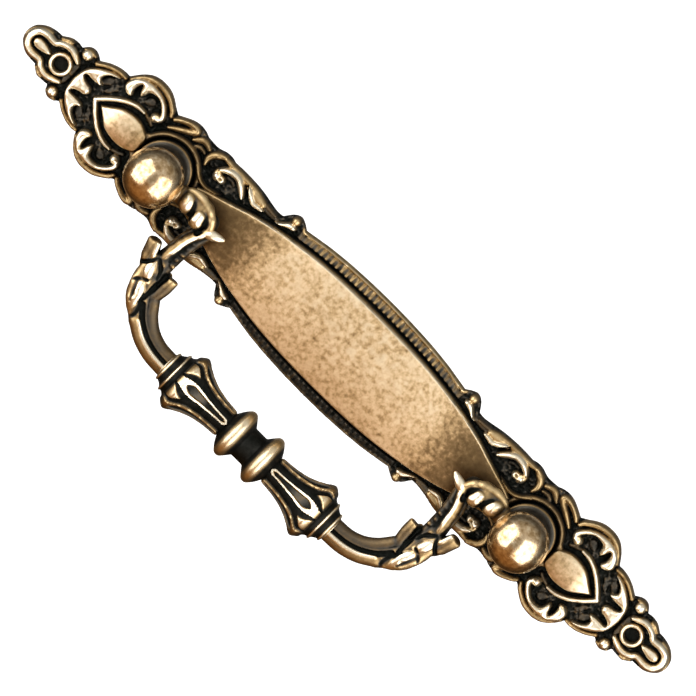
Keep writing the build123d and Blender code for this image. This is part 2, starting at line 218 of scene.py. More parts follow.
def carve_relief():
    # -- end loop with its drop, eye, beads
    ridge([(-84.2, 0, .5), (-83.9, 1.4, .5), (-82.5, 2.65, .5), (-81.4, 3.0, .42), (-80.7, 3.15, .25)], 2.1, .48)
    ridge([(-83.4, 0, .66), (-83.15, 1.0, .66), (-82.35, 1.9, .66), (-81.0, 2.3, .66), (-79.6, 2.22, .6), (-78.8, 2.28, .56), (-78.0, 3.0, .56), (-76.8, 3.5, .58), (-75.5, 3.5, .58), (-74.4, 3.05, .52), (-73.4, 2.6, .36)], 3.0, 1.0)
    ridge([(-78.6, 3.8, .3), (-77.4, 4.35, .46), (-76.6, 4.5, .3)], 2.2, .44)
    leaf([(-82.2, -0.8), (-82.25, 0.0), (-82.0, .6), (-81.3, .95), (-80.4, .92), (-79.4, .68), (-78.3, .28), (-77.8, -0.8), (-80, -1.5)], 3.0, 1.0, .9)
    ring(-EYE_X, 1.9, 0.52, 2.75, .8)
    bead(-77.3, 4.3, .8, 2.35, .5)
    bead(-73.05, 4.95, 1.2, 3.2, .85)
    ridge([(-74.2, 5.5, .3), (-73.0, 5.95, .38), (-71.8, 5.75, .3)], 2.3, .45)
    ridge([(-72.95, 0, .42), (-72.95, 1.6, .42), (-73.0, 2.3, .3)], 1.8, .30)
    # -- palmette: bar, horn with its finger, middle tongue; rim and low leaf behind
    leaf([(-71.95, -1.5), (-71.95, 0.0), (-71.85, 1.2), (-71.6, 2.4), (-71.15, 3.4), (-70.3, 4.3), (-69.3, 5.1), (-68.2, 5.75), (-67.1, 6.2), (-66.0, 6.42), (-65.5, 6.2),
          (-66.5, 5.75), (-67.5, 5.15), (-68.05, 4.4), (-68.15, 3.75), (-67.7, 3.25), (-67.2, 2.85), (-67.6, 2.5), (-68.6, 2.35), (-69.6, 2.35), (-70.4, 2.4), (-70.8, 2.2),
          (-70.75, 1.75), (-70.2, 1.35), (-69.4, 1.08), (-68.6, .95), (-68.05, .6), (-67.85, 0.0), (-67.95, -1.5), (-70, -2.0)], 3.3, 1.0, 1.0)
    leaf([(-68.0, 3.6), (-67.3, 4.8), (-66.4, 5.2), (-65.9, 4.6), (-66.1, 3.9), (-66.7, 3.3), (-67.4, 3.1)], 1.85, .17, .9)
    leaf([(-66.3, 2.2), (-65.8, 3.6), (-64.9, 4.5), (-64.3, 4.2), (-64.9, 3.0), (-65.6, 2.2)], 1.7, .16, .8)
    ridge([(-70.7, 4.95, .42), (-69.4, 5.95, .48), (-68.0, 6.6, .5), (-66.4, 6.95, .46), (-65.0, 6.95, .36)], 2.35, .5)
    # -- lip round the petal
    ridge([(-66.3, 0, .44), (-65.85, .5, .44), (-64.95, 1.45, .44), (-63.95, 2.4, .44), (-62.95, 3.2, .44), (-61.95, 3.85, .44), (-60.95, 4.35, .44), (-60.0, 4.68, .42), (-59.0, 4.85, .38), (-58.0, 4.85, .3)], 2.85, .92)
    ridge([(-57.6, 4.75, .3), (-56.4, 4.4, .34), (-55.4, 3.9, .3)], 2.1, .3)
    # -- shoulder scroll: outer rim, crescent with fingers, eye, low leaf in the hollow
    ridge([(-64.1, 7.7, .42), (-63.1, 9.15, .58), (-61.9, 10.05, .64), (-60.3, 10.62, .66), (-58.8, 10.75, .66), (-57.2, 10.5, .64), (-55.8, 9.85, .6), (-54.6, 8.95, .52), (-53.9, 7.9, .35)], 2.45, .5)
    leaf([(-64.25, 6.5), (-63.95, 7.8), (-63.2, 8.8), (-62.0, 9.6), (-60.5, 9.98), (-59.0, 9.95), (-57.5, 9.6), (-56.2, 8.95), (-55.2, 8.05), (-54.45, 7.0), (-54.35, 6.0), (-54.9, 5.2),
          (-55.5, 5.6), (-55.4, 6.5), (-55.75, 7.2), (-56.4, 7.9), (-57.2, 8.5), (-58.1, 8.75), (-59.3, 8.6), (-59.9, 8.1), (-60.1, 7.4), (-60.6, 6.6), (-61.2, 7.3),
          (-61.45, 8.1), (-61.8, 8.5), (-62.1, 8.1), (-62.3, 7.3), (-62.25, 6.4), (-61.9, 5.5), (-62.8, 5.15), (-63.8, 5.6)], 3.45, 1.0, 1.0)
    leaf([(-59.4, 6.3), (-59.3, 7.3), (-58.6, 7.9), (-57.8, 7.8), (-57.5, 7.2), (-57.9, 6.5), (-58.6, 6.1)], 1.8, .16, 1.0)
    bead(-55.8, 5.6, 1.05, 3.4, 1.0)
    # -- ribbons between the scroll and the long leaf
    ridge([(-53.0, 8.0, .4), (-52.3, 8.65, .54), (-51.0, 9.4, .68), (-50.0, 9.7, .68), (-48.9, 9.75, .62), (-48.3, 9.4, .56), (-48.8, 8.75, .62), (-49.7, 8.15, .62), (-50.7, 7.55, .58), (-51.8, 6.85, .5), (-52.9, 6.15, .3)], 2.6, .49)
    ridge([(-47.9, 7.8, .36), (-46.9, 8.7, .6), (-45.9, 9.05, .62), (-44.5, 8.6, .44)], 2.25, .44)
    ridge([(-46.9, 7.1, .3), (-45.9, 7.6, .42), (-44.7, 7.4, .3)], 2.0, .38)
    ridge([(-43.2, 6.0, .3), (-43.5, 7.2, .54), (-43.1, 8.4, .66), (-42.2, 9.2, .66), (-41.2, 9.7, .46)], 2.6, .48)
    # -- long leaf beside the shield, its eye, and the bud
    ridge([(-40.9, 9.6, .44), (-39.0, 9.5, .56), (-36.0, 9.45, .62), (-33.0, 9.25, .62), (-31.2, 9.0, .5), (-30.0, 8.8, .3)], 2.45, .5)
    ridge([(-31.0, 8.95, .4), (-29.0, 8.6, .44), (-27.0, 8.45, .36)], 2.25, .32)
    leaf([(-33.9, 9.2), (-33.0, 8.6), (-32.2, 8.0), (-31.3, 7.8), (-30.2, 7.9), (-29.4, 8.2), (-30.0, 8.9), (-31.5, 9.2)], 2.7, .6, .6)
    ridge([(-40.75, 6.5, .3), (-40.6, 7.2, .36), (-40.1, 7.8, .36)], 2.7, .5)
    ridge([(-40.3, 7.6, .34), (-39.5, 8.2, .56), (-38.4, 8.65, .66), (-37.0, 8.75, .68), (-35.9, 8.3, .66), (-35.0, 7.6, .62), (-34.3, 6.95, .48), (-33.8, 6.5, .24)], 3.35, 1.0)
    bead(-39.95, 6.15, 1.1, 3.4, 1.0)
    bead(-38.95, 6.1, .95, 3.2, .9)
    ridge([(-34.1, 8.8, .4), (-33.1, 8.2, .5), (-32.2, 7.6, .54), (-31.4, 7.35, .54), (-30.3, 7.5, .46), (-29.5, 7.6, .26)], 3.2, 1.0)
    ridge([(-38.4, 7.2, .3), (-37.4, 7.4, .42), (-36.6, 6.9, .3)], 1.7, .22)
    ridge([(-29.6, 8.1, .42), (-28.0, 8.05, .5), (-26.2, 8.1, .4)], 2.0, .27)
    leaf([(-26.4, 7.75), (-25.7, 8.3), (-24.9, 9.0), (-24.1, 9.75), (-23.0, 9.95), (-22.4, 9.5), (-22.6, 8.95), (-23.5, 8.7), (-24.4, 8.35), (-25.4, 7.85)], 3.05, 1.0, .7)
    bead(-23.45, 10.65, 1.0, 2.95, .56)
    # -- rings round the post, and the line that runs from the ring into the shield's edge
    ring(-POST_X, 6.5, 0.62, 2.9, .37)
    ridge([(-54.9, 2.15, .34), (-54.2, 2.6, .38), (-53.4, 3.6, .42), (-52.5, 4.6, .45)], 2.8, .42)
    ridge([(-44.0, 5.0, .45), (-42.8, 3.95, .45), (-41.5, 3.25, .42), (-40.2, 3.05, .36), (-38.6, 3.45, .24), (-37.0, 3.98, .02)], 3.1, .42)


carve_relief()
groove([(-39.25, 6.15, .34), (-38.95, 6.2, .34)], 0.5, 0.6)
groove([(-34.5, 9.0, .26), (-33.9, 8.3, .26), (-33.2, 7.5, .26)], 0.9, 0.8)

# milled rail: thin outer rim, close bars that slope away from the shield, dark channel beside it
_w = edge_w(XX)
_mid = step01(-22.0, -20.4, XX)
_all = (slice(None), slice(None))
_q = np.abs(YY - (_w - 0.30)) / 0.36
lift(_all, np.maximum(1 - _q**2, 0) ** 0.5 * _mid, 1.95, .68, GROUND)
_lo = np.interp(XX, shield_line[:, 0], shield_line[:, 1]) + 0.42
_hi = _w - 0.62
_c, _hw = (_lo + _hi) / 2, np.maximum((_hi - _lo) / 2, 0.05)
_q = np.abs(YY - _c) / _hw
_tooth = 0.5 - 0.5 * np.cos(2 * math.pi * (XX - 0.61) / 1.22)
_tooth = step01(0.15, 0.85, _tooth)
_fade = 0.35 + 0.65 * step01(-22.0, -12.0, XX)
_bar = (_q < 1) & (XX > -21.4)
_slope = 2.75 - 0.62 * np.clip(YY - _lo, 0, 3)
lift(_all, np.where(_bar, np.sqrt(np.maximum(1 - _q**6, 0)) * (1 - 0.42 * (1 - _tooth * _fade)), 0), _slope, .44, GROUND)
TONE = np.where(_bar, TONE * (0.62 + 0.42 * _tooth * _fade), TONE)

# pointed petal: a smooth pillow with a sharp drop at its edge
_d = curve_in(petal_line, XX, YY)
_e = np.sqrt(1 - (1 - np.clip(_d / 0.45, 0, 1)) ** 2) * np.sqrt(1 - (1 - np.clip((-53.9 - XX) / 0.5, 0, 1)) ** 2)
_pillow = 3.0 + 0.75 * np.clip(1 - (YY / 3.3) ** 2, 0, 1) * step01(-65.5, -60.0, XX)
IN_PETAL = (_d > 0) & (XX < -53.9) & (XX > -64.9)
_h = GROUND + (_pillow - GROUND) * _e
TONE = np.where(IN_PETAL & (_h > H), np.interp(XX, [-64.5, -60.5, -57.0, -54.0], [1.0, 0.9, 0.76, 0.62]) * (0.3 + 0.7 * _e), TONE)
H = np.where(IN_PETAL, np.maximum(H, _h), H)

# smooth middle shield; its ends stop at the rings
_away = np.hypot(XX + POST_X, YY) - 7.0
_d = np.minimum(curve_in(shield_line, XX, YY), _away)
_e = np.sqrt(1 - (1 - np.clip(_d / 0.36, 0, 1)) ** 2)
_dome = 4.95 - XX**2 / (2 * 491.0) - YY**2 / (2 * 43.0)
IN_SHIELD = (_d > 0) & (XX > -43.2)
_h = GROUND + (_dome - GROUND) * _e
# painted shade: the shield's face, and its edge line with it, darken towards its ends, where the knuckles and arms
# shade it
_end_shade = np.interp(-XX, [18.0, 21.0, 24.0, 28.0, 31.0, 35.0, 42.0], [0.88, 0.82, 0.68, 0.46, 0.34, 0.24, 0.2])
TONE = np.where(IN_SHIELD & (_h > H), np.where(_d < 0.42, (0.62 + 0.38 * step01(-40.0, -26.0, XX)) * np.clip(1.5 * _e, 0.1, 1), _end_shade), TONE)
H = np.where(IN_SHIELD, np.maximum(H, _h), H)

# cast texture of the sunk ground
_noise = blur(np.random.default_rng(5).normal(size=H.shape), 2.6)
_noise /= _noise.std()
_low = np.clip((2.0 - H) / 0.6, 0, 1)
H = H + 0.085 * _noise * _low
_wavy = blur(np.random.default_rng(9).normal(size=H.shape), 6.0)
H = H + 0.035 * _wavy / _wavy.std() * ~(IN_SHIELD | IN_PETAL)
TONE = TONE + (0.12 + 0.07 * _noise) * _low

# the flat that the post's flange covers, and the blind eye near the tip
H = np.where(np.hypot(XX + POST_X, YY) < 5.6, 3.3, H)
TONE = np.where(np.hypot(XX + POST_X, YY) < 5.6, 0.12, TONE)
_eye = np.hypot(XX + EYE_X, YY) < 1.42
H = np.where(_eye, 0.75, H)
# painted shade: the blind eye's floor is painted dark, as the shade down a hole
TONE = np.where(_eye, 0.32, TONE)
H = blur(H, 0.9)
TONE = blur(TONE, 0.8)

# rounded outer edge
_d = curve_in(edge_line, XX, YY)
H = np.where(_d > 0, H - 0.45 * (1 - np.sqrt(1 - (1 - np.clip(_d / 0.45, 0, 1)) ** 2)), 0.0)

# what is left bright: rubbed tops; darker where higher relief stands close by, as patina in the hollows and as painted
# shade
_solid = np.where(_d > -0.3, np.maximum(H, 0.9), 0.6)
_wide = blur(_solid, 0.9 / STEP)
SUNK = np.clip(_wide - _solid, 0, 2)
WEAR_AND_SHADE = np.clip(TONE + 0.10 * (_solid - _wide) - 0.28 * SUNK, 0, 1)
_face = step01(0.32, 0.52, np.minimum(curve_in(shield_line, XX, YY), _away)) * IN_SHIELD
_leafy = step01(0.2, 0.8, curve_in(petal_line, XX, YY)) * IN_PETAL * 0.85
SMOOTH = blur(np.maximum(_face, _leafy), 1.2)


def sample(field, x, y):
    fx = np.clip((-np.abs(x) - GX[0]) / STEP, 0, len(GX) - 1.001)
    fy = np.clip(np.abs(y) / STEP, 0, len(GY) - 1.001)
    i, j = fx.astype(int), fy.astype(int)
    u, v = fx - i, fy - j
    return (field[i, j] * (1 - u) + field[i + 1, j] * u) * (1 - v) + (field[i, j + 1] * (1 - u) + field[i + 1, j + 1] * u) * v


# ------------------------------------------------------------------ mesh helpers
def new_mesh(name, verts, faces, metres=False):
    m = bpy.data.meshes.new(name)
    m.from_pydata(verts if metres else stand(verts), [], faces)
    m.validate()
    m.update()
    o = bpy.data.objects.new(name, m)
    bpy.context.scene.collection.objects.link(o)
    return o


def apply_modifiers(o):
    dg = bpy.context.evaluated_depsgraph_get()
    m = bpy.data.meshes.new_from_object(o.evaluated_get(dg))
    old = o.data
    o.modifiers.clear()
    o.data = m
    bpy.data.meshes.remove(old)


def cut(o, tools):
    for t in tools:
        b = o.modifiers.new("cut", "BOOLEAN")
        b.operation = "DIFFERENCE"
        b.object = t
        b.solver = "MANIFOLD"
    apply_modifiers(o)
    for t in tools:
        bpy.data.objects.remove(t)


def rod(name, x, y, z0, z1, r, n=64):
    a = np.arange(n) * 2 * math.pi / n
    ring0 = np.stack([x + r * np.cos(a), y + r * np.sin(a), np.full(n, z0)], 1)
    ring1 = ring0 + [0, 0, z1 - z0]
    faces = [tuple(range(n - 1, -1, -1)), tuple(range(n, 2 * n))]
    faces += [(i, (i + 1) % n, n + (i + 1) % n, n + i) for i in range(n)]
    return new_mesh(name, np.concatenate([ring0, ring1]), faces)


def paint(o, **fields):
    """Per-vertex values that the finish reads."""
    for name, values in fields.items():
        a = o.data.attributes.get(name) or o.data.attributes.new(name, "FLOAT", "POINT")
        a.data.foreach_set("value", np.asarray(values, np.float32))


def points_of(o):
    v = np.empty(len(o.data.vertices) * 3)
    o.data.vertices.foreach_get("co", v)
    return v.reshape(-1, 3)


def lying(o):
    v = points_of(o) * 1000
    return np.stack([v[:, 0], v[:, 2], -v[:, 1]], 1)


def smooth(o, angle=50):
    o.data.shade_smooth()
    o.data.set_sharp_from_angle(angle=math.radians(angle))


# ------------------------------------------------------------------ backplate mesh
def make_plate():
    left = np.concatenate([np.arange(-84.40, -24.0, 0.12), np.arange(-24.0, -0.05, 0.16)])
    xs = np.concatenate([left, [0.0], -left[::-1]])
    rows = 73
    t = np.linspace(-1, 1, 2 * rows + 1)
    n, m = len(xs), len(t)
    w = edge_w(xs)
    gx = np.repeat(xs[:, None], m, 1)
    gy = w[:, None] * t[None, :]
    gz = sample(H, gx.ravel(), gy.ravel() * 0.9995).reshape(n, m)
    top = np.stack([gx, gy, gz], 2).reshape(-1, 3)
    verts = [top]
    base = n * m
    # side wall: a slight roll in to the back edge
    lower = []
    for inset, z in ((0.0, 0.55), (0.0, 0.15), (0.08, 0.0)):
        for s in (0, m - 1):
            y = gy[:, s]
            lower.append(np.stack([xs, y - np.sign(y) * inset * (np.abs(y) > 0.3), np.full(n, z)], 1))
    verts += lower
    tips = np.array([[-84.45, 0, 0.9], [-84.45, 0, 0.55], [-84.45, 0, 0.15], [-84.33, 0, 0.0], [84.45, 0, 0.9], [84.45, 0, 0.55], [84.45, 0, 0.15], [84.33, 0, 0.0]])
    verts.append(tips)
    verts = np.concatenate(verts)

    def wall(level, s):      # level 0 is the top edge; s 0 is the lower edge of the plate, 1 the upper
        if level == 0:
            return np.arange(n) * m + (0 if s == 0 else m - 1)
        return base + (level - 1) * 2 * n + s * n + np.arange(n)

    tip = base + 6 * n
    i, j = np.meshgrid(np.arange(n - 1), np.arange(m - 1), indexing="ij")
    a = (i * m + j).ravel()
    faces = np.stack([a, a + m, a + m + 1, a + 1], 1).tolist()
    for end, col in ((0, 0), (1, n - 1)):
        t0 = tip + 4 * end
        for k in range(m - 1):
            f = (t0, col * m + k, col * m + k + 1)
            faces.append(f if end == 0 else f[::-1])
    for s in (0, 1):
        for lv in range(3):
            u, d = wall(lv, s), wall(lv + 1, s)
            for k in range(n - 1):
                f = (u[k], d[k], d[k + 1], u[k + 1])
                faces.append(f if s == 0 else f[::-1])
            for end, k in ((0, 0), (1, n - 1)):
                t0 = tip + 4 * end
                f = (t0 + lv, t0 + lv + 1, d[k], u[k])
                faces.append(f if (s == 0) == (end == 0) else f[::-1])
    lo, hi = wall(3, 0), wall(3, 1)
    for k in range(n - 1):
        faces.append((lo[k], hi[k], hi[k + 1], lo[k + 1]))
    faces.append((tip + 3, hi[0], lo[0]))
    faces.append((tip + 7, lo[-1], hi[-1]))
    o = new_mesh("backplate_relief", verts, faces)
    d = o.modifiers.new("thin", "DECIMATE")
    d.ratio = 0.46
    apply_modifiers(o)
    tools = []
    for s in (-1, 1):
        tools.append(rod("c", s * POST_X, 0, -1, 9, 3.05))
    cut(o, tools)
    v = lying(o)
    front = step01(0.02, 0.5, v[:, 2])
    wear = sample(WEAR_AND_SHADE, v[:, 0], v[:, 1]) * front + 0.62 * (1 - front)
    # painted shade: the lower rail is darkened, as the light from above leaves it in shade
    lower_rail_shade = (np.abs(v[:, 0]) < 21.5) * step01(0.25, 0.6, -v[:, 1] - np.interp(-np.abs(v[:, 0]), shield_line[:, 0], shield_line[:, 1]))
    paint(o, wear=wear * (1 - 0.5 * lower_rail_shade * front), satin=sample(SMOOTH, v[:, 0], v[:, 1]) * front)
    smooth(o, 55)
    return o


# ------------------------------------------------------------------ posts
def lathe(name, profile, n, origin, axis):
    """Turns (along, radius) about a line through origin; closed at both ends."""
    p = np.array(profile, float)
    a = np.arange(n) * 2 * math.pi / n
    c, s = np.cos(a), np.sin(a)
    k = len(p)
    al = np.repeat(p[:, :1], n, 1)
    r = p[:, 1:2]
    o = np.array(origin, float)
    if axis == "z":
        v = np.stack([o[0] + r * c, o[1] + r * s, o[2] + al], 2)
    else:
        v = np.stack([o[0] + al, o[1] + r * c, o[2] + r * s], 2)
    v = v.reshape(-1, 3)
    i, j = np.meshgrid(np.arange(k - 1), np.arange(n), indexing="ij")
    a0 = (i * n + j).ravel()
    b0 = (i * n + (j + 1) % n).ravel()
    faces = np.stack([a0, b0, b0 + n, a0 + n], 1).tolist()
    faces.append(tuple(range(n - 1, -1, -1)))
    faces.append(tuple((k - 1) * n + q for q in range(n)))
    return new_mesh(name, v, faces)


def make_post(name, side):
    prof = [(0.0, 1.65), (0.0, 2.75), (0.12, 2.95), (0.3, 3.0), (3.42, 3.0), (3.42, 5.1)]
    for a in np.linspace(-70, 90, 9):
        prof.append((3.95 + 0.48 * math.sin(math.radians(a)), 5.2 + 0.42 * math.cos(math.radians(a))))
    prof += [(4.55, 5.0), (4.8, 4.8), (5.2, 4.66), (5.6, 4.6), (6.6, 4.58), (7.6, 4.55), (8.1, 4.42), (8.5, 4.22), (8.85, 4.06)]
    r, z = 5.8, 13.2
    for a in np.linspace(math.degrees(math.asin(-4.2 / r)), 89.4, 60):
        prof.append((z + r * math.sin(math.radians(a)), r * math.cos(math.radians(a))))
    o = lathe(name, prof, 128, (side * POST_X, 0, 0), "z")
    hole = rod("c", side * POST_X, 0, -1, 5.0, 1.64)
    pin = lathe("c", [(38.0, 1.6), (46.8, 1.6)], 40, (0, 0, 7.0), "x")
    if side < 0:
        for v in pin.data.vertices:
            v.co.x = -v.co.x
        pin.data.flip_normals()
    cut(o, [hole, pin])
    v = lying(o)
    rad = np.hypot(v[:, 0] - side * POST_X, v[:, 1])
    h = v[:, 2]
    # painted highlight: a thin bright line round the flange's rim; the ball's and the base's brightness is rubbed
    # finish
    wear = 0.20 + 0.70 * step01(8.6, 10.5, h) + 0.30 * step01(5.2, 5.5, rad) * (h < 5) + 0.40 * (1 - step01(0.1, 0.5, h)) * (rad > 1.8)
    paint(o, wear=wear, satin=step01(8.9, 9.8, h))
    smooth(o, 40)
    return o


# ------------------------------------------------------------------ bail: arms
# The right arm is a distance field on a grid, x and y as on the plate and z from the pivot's height.
PIVOT_Z = 7.0
GRIP_Y = -25.2
ARM_STEP = 0.155
AX = np.arange(19.6, 47.2, ARM_STEP)
AY = np.arange(-29.2, 4.6, ARM_STEP)
AZ = np.arange(-3.9, 3.9, ARM_STEP)
FAR = 1.0
ARM = np.full((len(AX), len(AY), len(AZ)), FAR, np.float32)
ARM_TONE = np.full(ARM.shape, 0.3, np.float32)


def arm_window(lo, hi, pad=0.9):
    i0, i1 = np.searchsorted(AX, [lo[0] - pad, hi[0] + pad])
    j0, j1 = np.searchsorted(AY, [lo[1] - pad, hi[1] + pad])
    k0, k1 = np.searchsorted(AZ, [lo[2] - pad, hi[2] + pad])
    sl = (slice(i0, i1), slice(j0, j1), slice(k0, k1))
    return sl, AX[i0:i1][:, None, None], AY[j0:j1][None, :, None], AZ[k0:k1][None, None, :]


def blend_in(sl, d, k, carve, tone):
    a = -ARM[sl] if carve else ARM[sl]
    h = np.maximum(k - np.abs(a - d), 0) / k
    m = np.minimum(a, d) - h * h * k * 0.25
    ARM_TONE[sl] += (tone - ARM_TONE[sl]) * np.clip(0.5 + (a - d) / 0.3, 0, 1)
    ARM[sl] = -m if carve else m


def strand(points, k=0.12, carve=False, tone=0.3, step=0.45):
    """A round strand through (x, y, z, radius), given a tone: rubbed wear and patina, and on some strands a painted
    highlight.
    """
    line = smooth_line(points, step, 3)
    r = line[:, 3].max()
    sl, x, y, z = arm_window(line[:, :3].min(0) - r, line[:, :3].max(0) + r)
    d = np.full(ARM[sl].shape, FAR, np.float32)
    for a, b in zip(line[:-1], line[1:]):
        rr = max(a[3], b[3])
        lo, hi = np.minimum(a[:3], b[:3]) - rr, np.maximum(a[:3], b[:3]) + rr
        s2, x2, y2, z2 = arm_window(lo, hi)
        own = tuple(slice(max(p.start - q.start, 0), max(min(p.stop, q.stop) - q.start, 0)) for p, q in zip(s2, sl))
        x2, y2, z2 = x[own[0]], y[:, own[1]], z[:, :, own[2]]
        v = b[:3] - a[:3]
        t = np.clip(((x2 - a[0]) * v[0] + (y2 - a[1]) * v[1] + (z2 - a[2]) * v[2]) / max(v @ v, 1e-9), 0, 1)
        q = np.sqrt((x2 - a[0] - v[0] * t) ** 2 + (y2 - a[1] - v[1] * t) ** 2 + (z2 - a[2] - v[2] * t) ** 2) - (a[3] + (b[3] - a[3]) * t)
        d[own] = np.minimum(d[own], q)
    blend_in(sl, d, k, carve, tone)


def lump(c, semi, turn=0.0, k=0.15, carve=False, tone=0.3, fade=0.0):
    """An egg with the half axes semi, turned in the plate's plane; fade paints shade on all but its front, which is
    left as a painted highlight.
    """
    r = max(semi)
    c = np.array(c, float)
    sl, x, y, z = arm_window(c - r, c + r)
    ct, st = math.cos(math.radians(turn)), math.sin(math.radians(turn))
    px, py, pz = x - c[0], y - c[1], z - c[2]
    qx, qy = px * ct + py * st, -px * st + py * ct
    k0 = np.sqrt((qx / semi[0]) ** 2 + (qy / semi[1]) ** 2 + (pz / semi[2]) ** 2) + 1e-6
    k1 = np.sqrt((qx / semi[0] ** 2) ** 2 + (qy / semi[1] ** 2) ** 2 + (pz / semi[2] ** 2) ** 2) + 1e-6
    tone = tone * (1 - fade * (1 - np.clip((pz / semi[2] - 0.45 - 0.25 * np.hypot(qx / semi[0], qy / semi[1])) / 0.25, 0, 1)))
    blend_in(sl, np.minimum(k0 * (k0 - 1) / k1, FAR).astype(np.float32), k, carve, tone)


def chop(c, normal, r, k, tone):
    """Cuts away what lies beyond a plane through c, within r of it."""
    c, n = np.array(c, float), np.array(normal, float)
    n /= np.linalg.norm(n)
    sl, x, y, z = arm_window(c - r, c + r)
    px, py, pz = x - c[0], y - c[1], z - c[2]
    d = np.maximum(-(px * n[0] + py * n[1] + pz * n[2]), np.sqrt(px**2 + py**2 + pz**2) - r)
    blend_in(sl, np.minimum(d, FAR).astype(np.float32), k, True, tone)


CENTRE = np.array([(20.4, -25.2), (22.4, -25.2), (25.3, -24.95), (28.3, -24.0), (31.0, -22.3), (33.1, -20.0), (34.6, -17.4), (35.4, -14.8), (35.7, -12.2), (35.6, -9.4), (35.4, -6.8), (35.0, -4.6), (34.6, -2.6)])


def beside(i, outward):
    """A point beside the centre line, outward of the bail's loop."""
    a, b = CENTRE[max(i - 1, 0)], CENTRE[min(i + 1, len(CENTRE) - 1)]
    d = (b - a) / np.linalg.norm(b - a)
    return CENTRE[i] + np.array([d[1], -d[0]]) * outward


def along(i0, i1, outward, z, r):
    n = i1 - i0
    out = []
    for i in range(i0, i1 + 1):
        t = (i - i0) / n
        p = beside(i, np.interp(t, np.linspace(0, 1, len(outward)), outward))
        out.append((p[0], p[1], np.interp(t, np.linspace(0, 1, len(z)), z), np.interp(t, np.linspace(0, 1, len(r)), r)))
    return out


